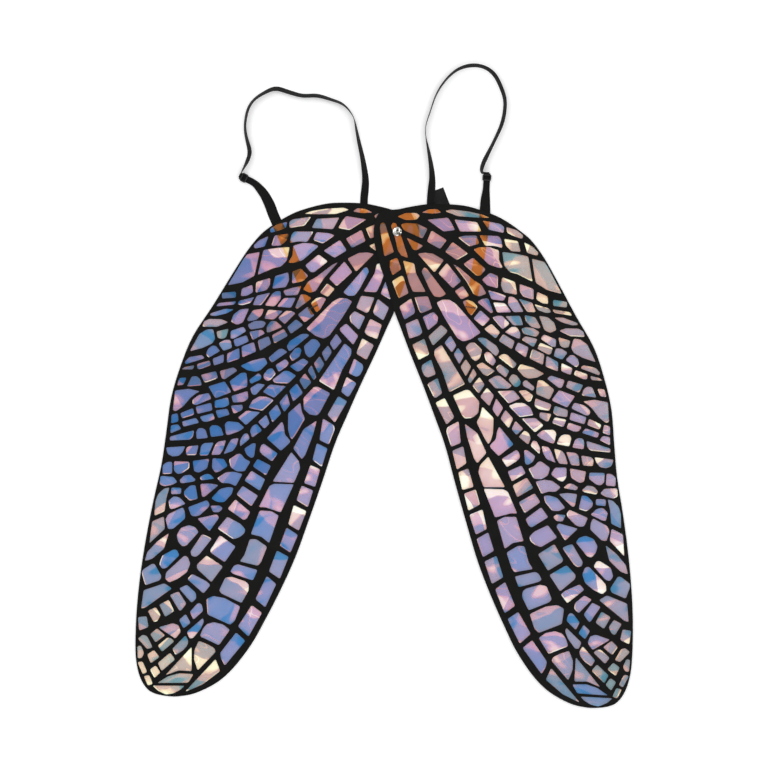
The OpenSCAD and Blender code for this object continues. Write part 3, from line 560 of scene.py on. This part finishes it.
def makeElasticMaterial():
    look = elasticLook
    material, tree = startMaterial("woven polyester elastic")
    coords = addNode(tree, "ShaderNodeTexCoord")
    ribs = addNode(tree, "ShaderNodeTexWave",
                   {"Vector": coords.outputs["UV"], "Scale": math.tau / 20 / look["rib"] / mm,
                    "Distortion": 0.6, "Detail": 1.0}, bands_direction="Y")
    picks = addNode(tree, "ShaderNodeTexWave",
                    {"Vector": coords.outputs["UV"], "Scale": math.tau / 20 / look["pick"] / mm,
                     "Distortion": 0.4}, bands_direction="X")
    lengthwise = addNode(tree, "ShaderNodeMath", {0: ribs.outputs["Fac"], 1: 0.7},
                         operation="MULTIPLY")
    cloth = addNode(tree, "ShaderNodeMath",
                    {0: picks.outputs["Fac"], 1: 0.3, 2: lengthwise.outputs[0]},
                    operation="MULTIPLY_ADD")
    fuzz = addNode(tree, "ShaderNodeTexNoise",
                   {"Vector": coords.outputs["Object"], "Scale": 1 / (look["fuzz"] * mm),
                    "Detail": 4})
    # painted shade in the grooves between ribs and picks, and a painted highlight on their tops
    yarn = addNode(tree, "ShaderNodeValToRGB", {0: cloth.outputs[0]},
                   stops=[(0.1, look["paintedGrooveShade"]), (0.6, look["yarn"]), (1.0, look["paintedLighterTone"])])
    shade = addNode(tree, "ShaderNodeMapRange", {0: fuzz.outputs["Fac"], 1: 0.3, 2: 0.7,
                                                 3: 0.75, 4: 1.15})
    colour = addNode(tree, "ShaderNodeVectorMath",
                     {0: yarn.outputs[0], 1: shade.outputs[0]}, operation="MULTIPLY")
    bump = addNode(tree, "ShaderNodeBump", {"Height": cloth.outputs[0], "Strength": 0.6,
                                            "Distance": 0.00018})
    shader = addNode(tree, "ShaderNodeBsdfPrincipled",
                     {"Base Color": colour.outputs[0], "Roughness": 0.78, "IOR": 1.53,
                      "Specular IOR Level": 0.12, "Sheen Weight": 0.06, "Sheen Roughness": 0.5,
                      "Normal": bump.outputs[0]})
    endMaterial(tree, shader.outputs[0])
    return material


elasticMaterial = makeElasticMaterial()

strap = {"width": 10, "fan": 14, "neck": 8.5, "thick": 1.0, "arm": 0.95, "ply": 0.55, "columns": 6,
         "steps": 4, "leftHeight": 0.4, "rightHeight": 1.8, "slotHeight": 1.5,
         "slideLength": 9, "slideRun": 10, "tail": 1.5, "seam": 0.3, "roundedOff": 0.5}
slides = {"left": {"at": (-214.5, 75.2), "turn": -27, "body": "left_slider"},
          "right": {"at": (125.5, 75.5), "turn": -93, "body": "right_slider"}}


def besideSlide(side, along, across):
    turn = math.radians(slides[side]["turn"])
    x, y = slides[side]["at"]
    return (x + along * math.cos(turn) - across * math.sin(turn),
            y + along * math.sin(turn) + across * math.cos(turn))


def endRun(side):
    # the doubled end, straight through its slider
    stops = (strap["slideLength"] / 2 + strap["slideRun"] + 1, 0,
             -strap["slideLength"] / 2 - strap["tail"] - strap["seam"])
    return [(*besideSlide(side, along, 0), 0, strap["slotHeight"], strap["neck"],
             2 * strap["thick"]) for along in stops]


def acrossEnd(side, way):
    # the arm strap, turning up on edge across that end
    along = -strap["slideLength"] / 2 - strap["tail"] - strap["thick"] / 2
    return [(*besideSlide(side, along, way * across), tilt, 0, strap["width"], strap["thick"])
            for across, tilt in ((7, 78), (2, 90), (-3, 90))]


# each station: x, y, tilt (0 lies flat, 90 stands on edge), lowest height, width, thickness
w, t, fan = strap["width"], strap["thick"], strap["fan"]
lz, rz = strap["leftHeight"], strap["rightHeight"]
armRoutes = {
    "left": [(-47, 20, 0, lz), (-46.5, 45, 0, lz), (-45, 60, 12, 0), (-44.5, 75, 30, 0),
             (-48, 100, 50, 0), (-53.5, 125, 62, 0), (-57, 142, 72, 0), (-60.5, 158, 88, 0),
             (-69, 171.5, 76, 0), (-79, 179.5, 65, 0), (-94, 185, 60, 0), (-112, 190, 52, 0),
             (-133, 190, 52, 0), (-151.5, 195, 50, 0), (-170, 200, 46, 0), (-186, 194, 56, 0),
             (-201, 183.5, 63, 0), (-209.5, 169, 64, 0), (-213, 148, 69, 0), (-211, 131, 65, 0),
             (-206.5, 112, 52, 0), (-210, 98, 56, 0)],
    "right": [(47, 20, 0, rz), (47, 44, 0, rz), (48, 58, 10, 1.4), (49, 74, 34, 0),
              (47.5, 92, 50, 0), (43.5, 115, 68, 0), (40, 133, 88, 0), (40, 148, 90, 0),
              (46, 167, 87, 0), (54, 190, 84, 0), (65.5, 209, 81, 0), (82, 225, 77, 0),
              (101, 232, 70, 0), (120, 230.5, 73, 0), (135.5, 220, 67, 0), (146, 200, 66, 0),
              (151, 180, 67, 0), (147, 152, 62, 0), (134, 123, 67, 0), (123, 101, 55, 0),
              (118.5, 89, 62, 0)],
}
armRoutes = {side: [(*s, w, t) for s in route] + acrossEnd(side, 1 if side == "left" else -1)
             for side, route in armRoutes.items()}
lowerRoutes = {
    "left": [(-114, -115, 0, lz, fan, t), (-152, -24, 0, lz, fan, t), (-172, 20, 0, lz, fan, t),
             (-178, 36, 0, lz, fan, 2 * t), (-185, 50, 0, 0.6, 12.5, 2 * t),
             (-192, 59.5, 0, 1, 11, 2 * t)] + endRun("left"),
    "right": [(101, -116, 0, rz, fan, t), (116, -30, 0, rz, fan, t), (122.5, 20, 0, rz, fan, t),
              (123, 32, 0, rz, fan, t), (123.5, 45, 0, 1, 12.5, 2 * t)] + endRun("right"),
}
strapBodies = {"left": "root", "right": "right_wing"}


def between(a, b, c, d, f):
    return 0.5 * (2 * b + f * (c - a) + f * f * (2 * a - 5 * b + 4 * c - d)
                  + f * f * f * (3 * b - a - 3 * c + d))


def smoothRoute(route, steps):
    # plan position runs smoothly, the rest in straight steps, as the CAD strap does
    last = len(route) - 1
    stations = []
    for i in range(last):
        around = [route[max(0, min(last, i + k))] for k in (-1, 0, 1, 2)]
        for k in range(steps):
            f = k / steps
            place = [between(*(s[axis] for s in around), f) for axis in (0, 1)]
            rest = [around[1][j] * (1 - f) + around[2][j] * f for j in range(2, 6)]
            stations.append(place + rest)
    return stations + [list(route[-1])]


def layStrip(bm, stations, shift, lift, width):
    # a grid laid along the stations. shift and width take a station to mm, lift a share of
    # its thickness. UVs are real metres along and across. The subdivision that comes after
    # draws each edge in, so the grid is laid that much wider where the strap lies flat.
    uv = bm.loops.layers.uv.verify()
    count, columns = len(stations) - 1, strap["columns"]
    before = set(bm.verts)
    bmesh.ops.create_grid(bm, x_segments=count, y_segments=columns, size=0.5)
    added = [v for v in bm.verts if v not in before]
    runs = [0.0]
    for a, b in zip(stations, stations[1:]):
        runs.append(runs[-1] + math.dist(a[:2], b[:2]))
    for v in added:
        i = round((v.co.x + 0.5) * count)
        share = v.co.y
        x, y, tilt, lowest, wide, thick = stations[i]
        past, ahead = stations[max(0, i - 1)], stations[min(count, i + 1)]
        heading = math.atan2(ahead[1] - past[1], ahead[0] - past[0])
        side = Vector((-math.sin(heading), math.cos(heading), 0))
        tilt = math.radians(tilt)
        across = math.cos(tilt) * side + math.sin(tilt) * up
        away = math.cos(tilt) * up - math.sin(tilt) * side
        centre = Vector((x, y, lowest + wide / 2 * math.sin(tilt) + thick / 2 * math.cos(tilt)))
        here = width(stations[i]) + 2 * strap["roundedOff"] * math.cos(tilt)
        for loop in v.link_loops:
            loop[uv].uv = (runs[i] * mm, share * here * mm)
        v.co = (centre + across * (shift(stations[i]) + share * here)
                + away * lift * thick) * mm


def thicken(piece, thickness):
    # real thickness, then one subdivision that rounds the selvages
    wall = piece.modifiers.new("yarnThickness", "SOLIDIFY")
    wall.thickness = thickness
    wall.offset = 0
    soft = piece.modifiers.new("softEdges", "SUBSURF")
    soft.levels = 1
    soft.render_levels = 1


def makeArmStrap(side):
    bm = bmesh.new()
    layStrip(bm, smoothRoute(armRoutes[side], strap["steps"]), lambda s: 0, 0, lambda s: s[4])
    piece = finishPiece(side + "ArmStrap", bm, [elasticMaterial], strapBodies[side],
                        side + "_arm_strap")
    thicken(piece, strap["arm"] * mm)


def makeLowerStrap(side):
    # two plies that fan apart towards the blade and lie together in the slider
    bm = bmesh.new()
    stations = smoothRoute(lowerRoutes[side], strap["steps"])
    for way in (-1, 1):
        layStrip(bm, stations, lambda s: way * max(0, s[4] - w) / 2, way / 4,
                 lambda s: min(s[4], w))
    piece = finishPiece(side + "LowerStrap", bm, [elasticMaterial], strapBodies[side],
                        side + "_lower_strap")
    thicken(piece, strap["ply"] * mm)


for side in ("left", "right"):
    makeArmStrap(side)
    makeLowerStrap(side)
print("straps made")


# Moulded acetal: smooth and slightly glossy black, with faint flow marks
slideLook = {"black": "#101010", "flow": "#1b1b1b", "flowScale": 3, "round": 0.55}
slideShape = {"length": 9, "bar": 1.6, "barHeight": 1.2, "gap": 0.3, "corner": 2.2}


def makeSlideMaterial():
    look = slideLook
    material, tree = startMaterial("moulded black acetal")
    coords = addNode(tree, "ShaderNodeTexCoord")
    flow = addNode(tree, "ShaderNodeTexNoise",
                   {"Vector": coords.outputs["Object"], "Scale": 1 / (look["flowScale"] * mm),
                    "Detail": 3})
    colour = addNode(tree, "ShaderNodeValToRGB", {0: flow.outputs["Fac"]},
                     stops=[(0.35, look["black"]), (0.75, look["flow"])])
    gloss = addNode(tree, "ShaderNodeMapRange", {0: flow.outputs["Fac"], 1: 0.3, 2: 0.7,
                                                 3: 0.3, 4: 0.42})
    bump = addNode(tree, "ShaderNodeBump", {"Height": flow.outputs["Fac"], "Strength": 0.15,
                                            "Distance": 0.0002})
    shader = addNode(tree, "ShaderNodeBsdfPrincipled",
                     {"Base Color": colour.outputs[0], "Roughness": gloss.outputs[0],
                      "IOR": 1.48, "Normal": bump.outputs[0]})
    endMaterial(tree, shader.outputs[0])
    return material


slideMaterial = makeSlideMaterial()


def cutBox(bm, low, high):
    # one box of a slider, as a closed shell
    centre = [(a + b) / 2 * mm for a, b in zip(low, high)]
    size = [(b - a) * mm for a, b in zip(low, high)]
    bmesh.ops.create_cube(bm, size=1, matrix=Matrix.Translation(centre)
                          @ Matrix.Diagonal((*size, 1)))


def makeSlide(side):
    shape = slideShape
    slot = strap["neck"] + 2 * shape["gap"]
    high = 2 * shape["barHeight"] + 2 * strap["thick"] + 2 * shape["gap"]
    half, wide = shape["length"] / 2, slot / 2 + shape["bar"]
    bar, thick = shape["bar"], shape["barHeight"]
    block, cutter = bmesh.new(), bmesh.new()
    cutBox(block, (-half, -wide, 0), (half, wide, high))
    uprights = [e for e in block.edges if e.verts[0].co.xy == e.verts[1].co.xy]
    bmesh.ops.bevel(block, geom=uprights, offset=shape["corner"] * mm, segments=5, profile=0.5,
                    affect="EDGES", material=-1)
    # the passage for the strap, the window above the middle bar, and the two below the ends
    cutBox(cutter, (-half - 1, -slot / 2, thick), (half + 1, slot / 2, high - thick))
    cutBox(cutter, (-half + bar, -slot / 2, thick + 0.1), (half - bar, slot / 2, high + 1))
    for way in (-1, 1):
        ends = sorted((way * bar / 2, way * (half + 1)))
        cutBox(cutter, (ends[0], -slot / 2, -1), (ends[1], slot / 2, thick + 0.1))
    cutterMesh = bpy.data.meshes.new("slideCutter")
    cutter.to_mesh(cutterMesh)
    cutter.free()
    cutterObject = bpy.data.objects.new("slideCutter", cutterMesh)
    scene.collection.objects.link(cutterObject)
    piece = finishPiece(side + "Slide", block, [slideMaterial], slides[side]["body"],
                        side + "_slider")
    change = piece.modifiers.new("cut", "BOOLEAN")
    change.operation = "DIFFERENCE"
    change.object = cutterObject
    change.solver = "EXACT"
    change.use_self = True
    view = bpy.context.evaluated_depsgraph_get()
    result = bpy.data.meshes.new_from_object(piece.evaluated_get(view))
    piece.modifiers.clear()
    piece.data = result
    bpy.data.objects.remove(cutterObject)
    x, y = slides[side]["at"]
    result.transform(Matrix.Translation((x * mm, y * mm, 0))
                     @ Matrix.Rotation(math.radians(slides[side]["turn"]), 4, "Z"))
    soften = piece.modifiers.new("mouldedEdges", "BEVEL")
    soften.width = slideLook["round"] * mm
    soften.segments = 3
    soften.limit_method = "ANGLE"
    soften.angle_limit = math.radians(50)


for side in ("left", "right"):
    makeSlide(side)
print("sliders made")


# Nickel-plated steel, polished: bright, with small dents that break up what it mirrors, and dark
# patches painted in the dents as painted dark reflections, with a paler step round them
rivetLook = {"nickel": "#e6e3dc", "paintedLighterTone": "#bdb9b2", "paintedDarkReflection": "#3c3935", "gloss": (0.06, 0.2),
             "dent": 3.2}
rivet = {"cap": 6.5, "dome": 2.0, "rim": 0.5, "tube": 2.0, "post": 1.2, "turns": 64,
         "base": 1.4, "stackTop": 3.9, "gap": 0.3}


def makeRivetMaterial():
    look = rivetLook
    material, tree = startMaterial("polished nickel-plated steel")
    coords = addNode(tree, "ShaderNodeTexCoord")
    scuff = addNode(tree, "ShaderNodeTexNoise",
                    {"Vector": coords.outputs["Object"], "Scale": 1 / (look["dent"] * mm),
                     "Detail": 2, "Roughness": 0.45})
    # painted dark reflections in the dents, a paler step round them, then bright nickel
    colour = addNode(tree, "ShaderNodeValToRGB", {0: scuff.outputs["Fac"]},
                     stops=[(0.42, look["paintedDarkReflection"]), (0.455, look["paintedLighterTone"]),
                            (0.5, look["nickel"])])
    gloss = addNode(tree, "ShaderNodeMapRange", {0: scuff.outputs["Fac"], 1: 0.35, 2: 0.7,
                                                 3: look["gloss"][0], 4: look["gloss"][1]})
    bump = addNode(tree, "ShaderNodeBump", {"Height": scuff.outputs["Fac"], "Strength": 0.6,
                                            "Distance": 0.0006})
    shader = addNode(tree, "ShaderNodeBsdfPrincipled",
                     {"Base Color": colour.outputs[0], "Metallic": 1.0,
                      "Roughness": gloss.outputs[0], "Normal": bump.outputs[0]})
    endMaterial(tree, shader.outputs[0])
    return material


rivetMaterial = makeRivetMaterial()


def spinProfile(bm, profile):
    # profile: [radius, height] in mm from the axis out and back to the axis
    corners = [bm.verts.new((r * mm, 0, z * mm)) for r, z in profile]
    edges = [bm.edges.new(pair) for pair in zip(corners, corners[1:])]
    bmesh.ops.spin(bm, geom=corners + edges, cent=(0, 0, 0), axis=(0, 0, 1),
                   angle=math.tau, steps=rivet["turns"], use_merge=True)
    bmesh.ops.remove_doubles(bm, verts=bm.verts, dist=1e-6)
    bmesh.ops.recalc_face_normals(bm, faces=bm.faces)


def makeRivet():
    r = rivet
    foot = r["stackTop"] + r["gap"]
    rise = r["dome"] - r["rim"]
    dome = [(r["cap"] * math.cos(a), foot + r["rim"] + rise * math.sin(a))
            for a in [math.radians(k) for k in range(9, 90, 9)]]
    rolled = [(r["cap"] - 0.25, foot), (r["cap"] - 0.05, foot + 0.12), (r["cap"], foot + 0.35),
              (r["cap"] - 0.02, foot + r["rim"])]
    bm = bmesh.new()
    spinProfile(bm, [(0, r["base"] + 0.02), (r["post"], r["base"] + 0.02), (r["post"], foot)]
                + rolled + dome + [(0, foot + r["dome"])])
    finishPiece("rivetCap", bm, [rivetMaterial], "root", "rivet_cap")
    bm = bmesh.new()
    spinProfile(bm, [(0, 0), (r["cap"] - 0.5, 0), (r["cap"] - 0.12, 0.15), (r["cap"], 0.5),
                     (r["cap"], 0.9), (r["cap"] - 0.12, 1.25), (r["cap"] - 0.5, r["base"]),
                     (r["tube"], r["base"]), (r["tube"], r["stackTop"]),
                     (r["post"], r["stackTop"]), (r["post"], r["base"]), (0, r["base"])])
    finishPiece("rivetBase", bm, [rivetMaterial], "root", "rivet_base")


makeRivet()
print("rivet made")


# Polyester sewing thread, packed side by side: a small ridged pad with a dull lustre
tackLook = {"thread": "#0b0b0b", "lit": "#1a1a1a", "twist": 0.5}
tack = {"width": 2.4, "long": 8, "height": 0.4, "strands": 6, "skew": 2, "fromEnd": (3, 10),
        "frontRow": 9, "frontPitch": 1.6, "frontLong": 2.8, "frontThick": 0.75, "frontSkew": 38,
        "frontRise": 0.8, "frontStray": 0.4, "frontTurn": 12, "frontShares": (0.8, 1.3),
        "seed": 5}


def makeThreadMaterial():
    material, tree = startMaterial("black polyester thread")
    coords = addNode(tree, "ShaderNodeTexCoord")
    twist = addNode(tree, "ShaderNodeTexNoise",
                    {"Vector": coords.outputs["Object"], "Scale": 1 / (tackLook["twist"] * mm),
                     "Detail": 2})
    # painted highlight: paler where the twist stands up, darker where it sinks
    colour = addNode(tree, "ShaderNodeValToRGB", {0: twist.outputs["Fac"]},
                     stops=[(0.35, tackLook["thread"]), (0.7, tackLook["lit"])])
    bump = addNode(tree, "ShaderNodeBump", {"Height": twist.outputs["Fac"], "Strength": 0.5,
                                            "Distance": 0.0001})
    shader = addNode(tree, "ShaderNodeBsdfPrincipled",
                     {"Base Color": colour.outputs[0], "Roughness": 0.5, "IOR": 1.53,
                      "Sheen Weight": 0.2, "Normal": bump.outputs[0]})
    endMaterial(tree, shader.outputs[0])
    return material


threadMaterial = makeThreadMaterial()


def layStrand(bm, place, centre, skew, long, thick):
    # one thread across the strap: centre, length and thickness in mm, skew in degrees
    strand = Matrix.Translation([c * mm for c in centre]) \
        @ Matrix.Rotation(math.radians(skew), 4, "Z") @ Matrix.Rotation(math.radians(90), 4, "X")
    bmesh.ops.create_cone(bm, cap_ends=True, segments=8, radius1=thick / 2 * mm,
                          radius2=thick / 2 * mm, depth=long * mm, matrix=place @ strand)


def makeTacks(side):
    bm = bmesh.new()
    draw = random.Random(tack["seed"])
    floorOfStrap = (lz if side == "left" else rz) - tack["height"]
    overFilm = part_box(side + "_film")[1].z / mm - floorOfStrap + tack["frontRise"]
    pitch = tack["width"] / tack["strands"]
    for route in (armRoutes[side], lowerRoutes[side]):
        start, on = Vector(route[0][:2]), Vector(route[1][:2])
        turn = math.atan2(on.y - start.y, on.x - start.x)
        place = Matrix.Translation((start.x * mm, start.y * mm, floorOfStrap * mm)) \
            @ Matrix.Rotation(turn, 4, "Z")
        for along in tack["fromEnd"]:
            for k in range(tack["strands"]):
                x = along - tack["width"] / 2 + pitch * (k + 0.5)
                skew = tack["skew"] if k % 2 else -tack["skew"]
                layStrand(bm, place, (x, 0, tack["height"] / 2), skew, tack["long"],
                          tack["height"])
    # place is now the lower strap's: its upper tack shows in front as an untidy zigzag
    stray, turned = tack["frontStray"], tack["frontTurn"]
    for k in range(tack["frontRow"]):
        spot = (tack["fromEnd"][-1] + draw.uniform(-stray, stray),
                (k - tack["frontRow"] // 2) * tack["frontPitch"], overFilm)
        layStrand(bm, place, spot, (-1) ** k * tack["frontSkew"] + draw.uniform(-turned, turned),
                  tack["frontLong"] * draw.uniform(*tack["frontShares"]), tack["frontThick"])
    finishPiece(side + "Tacks", bm, [threadMaterial], strapBodies[side], side + "_bar_tacks")


for side in ("left", "right"):
    makeTacks(side)
print("tacks made")


# Woven satin ribbon: black with a soft sheen across its length and a tight selvage
labelLook = {"black": "#080808", "lit": "#161617", "pick": 0.8}
label = {"at": (65.2, 29.9, 2.8), "turn": 110.7, "long": 31, "wide": 22, "thick": 0.6, "ply": 0.2,
         "dropOver": 14, "tipHeight": 0.1, "segments": (44, 8)}


def makeLabelMaterial():
    look = labelLook
    material, tree = startMaterial("woven black satin ribbon")
    coords = addNode(tree, "ShaderNodeTexCoord")
    picks = addNode(tree, "ShaderNodeTexWave",
                    {"Vector": coords.outputs["UV"], "Scale": math.tau / 20 / look["pick"] / mm,
                     "Distortion": 0.5}, bands_direction="X")
    # painted highlight on the raised picks, darker between them
    colour = addNode(tree, "ShaderNodeValToRGB", {0: picks.outputs["Fac"]},
                     stops=[(0.2, look["black"]), (0.9, look["lit"])])
    bump = addNode(tree, "ShaderNodeBump", {"Height": picks.outputs["Fac"], "Strength": 0.4,
                                            "Distance": 0.0001})
    shader = addNode(tree, "ShaderNodeBsdfPrincipled",
                     {"Base Color": colour.outputs[0], "Roughness": 0.42, "IOR": 1.53,
                      "Specular IOR Level": 0.15, "Anisotropic": 0.5, "Sheen Weight": 0.05,
                      "Normal": bump.outputs[0]})
    endMaterial(tree, shader.outputs[0])
    return material


labelMaterial = makeLabelMaterial()


def makeLabel():
    # one ribbon folded back on itself at the free end, dropping under the arm strap's side
    drop = label["at"][2] - label["thick"] - label["tipHeight"]
    place = Matrix.Translation([c * mm for c in label["at"]]) \
        @ Matrix.Rotation(math.radians(label["turn"]), 4, "Z")
    bend = (label["thick"] - label["ply"]) / 2
    run = 2 * (label["long"] - bend) + math.pi * bend
    bm = bmesh.new()
    uv = bm.loops.layers.uv.verify()
    columns, rows = label["segments"]
    bmesh.ops.create_grid(bm, x_segments=columns, y_segments=rows, size=0.5)
    straight = label["long"] - bend - label["ply"] / 2
    for v in bm.verts:
        s, across = (v.co.x + 0.5) * run, v.co.y * label["wide"]
        for loop in v.link_loops:
            loop[uv].uv = (s * mm, across * mm)
        if s < straight:
            x, z = s, -label["thick"] + label["ply"] / 2
        elif s > run - straight:
            x, z = run - s, -label["ply"] / 2
        else:
            a = (s - straight) / (run - 2 * straight) * math.pi
            x = straight + bend * math.sin(a)
            z = -label["thick"] / 2 - bend * math.cos(a)
        z -= drop * smoothStep(0, label["dropOver"], x)
        v.co = place @ Vector((x * mm, across * mm, z * mm))
    piece = finishPiece("careLabel", bm, [labelMaterial], "right_wing", "care_label")
    thicken(piece, label["ply"] * mm)


makeLabel()
print("label made")
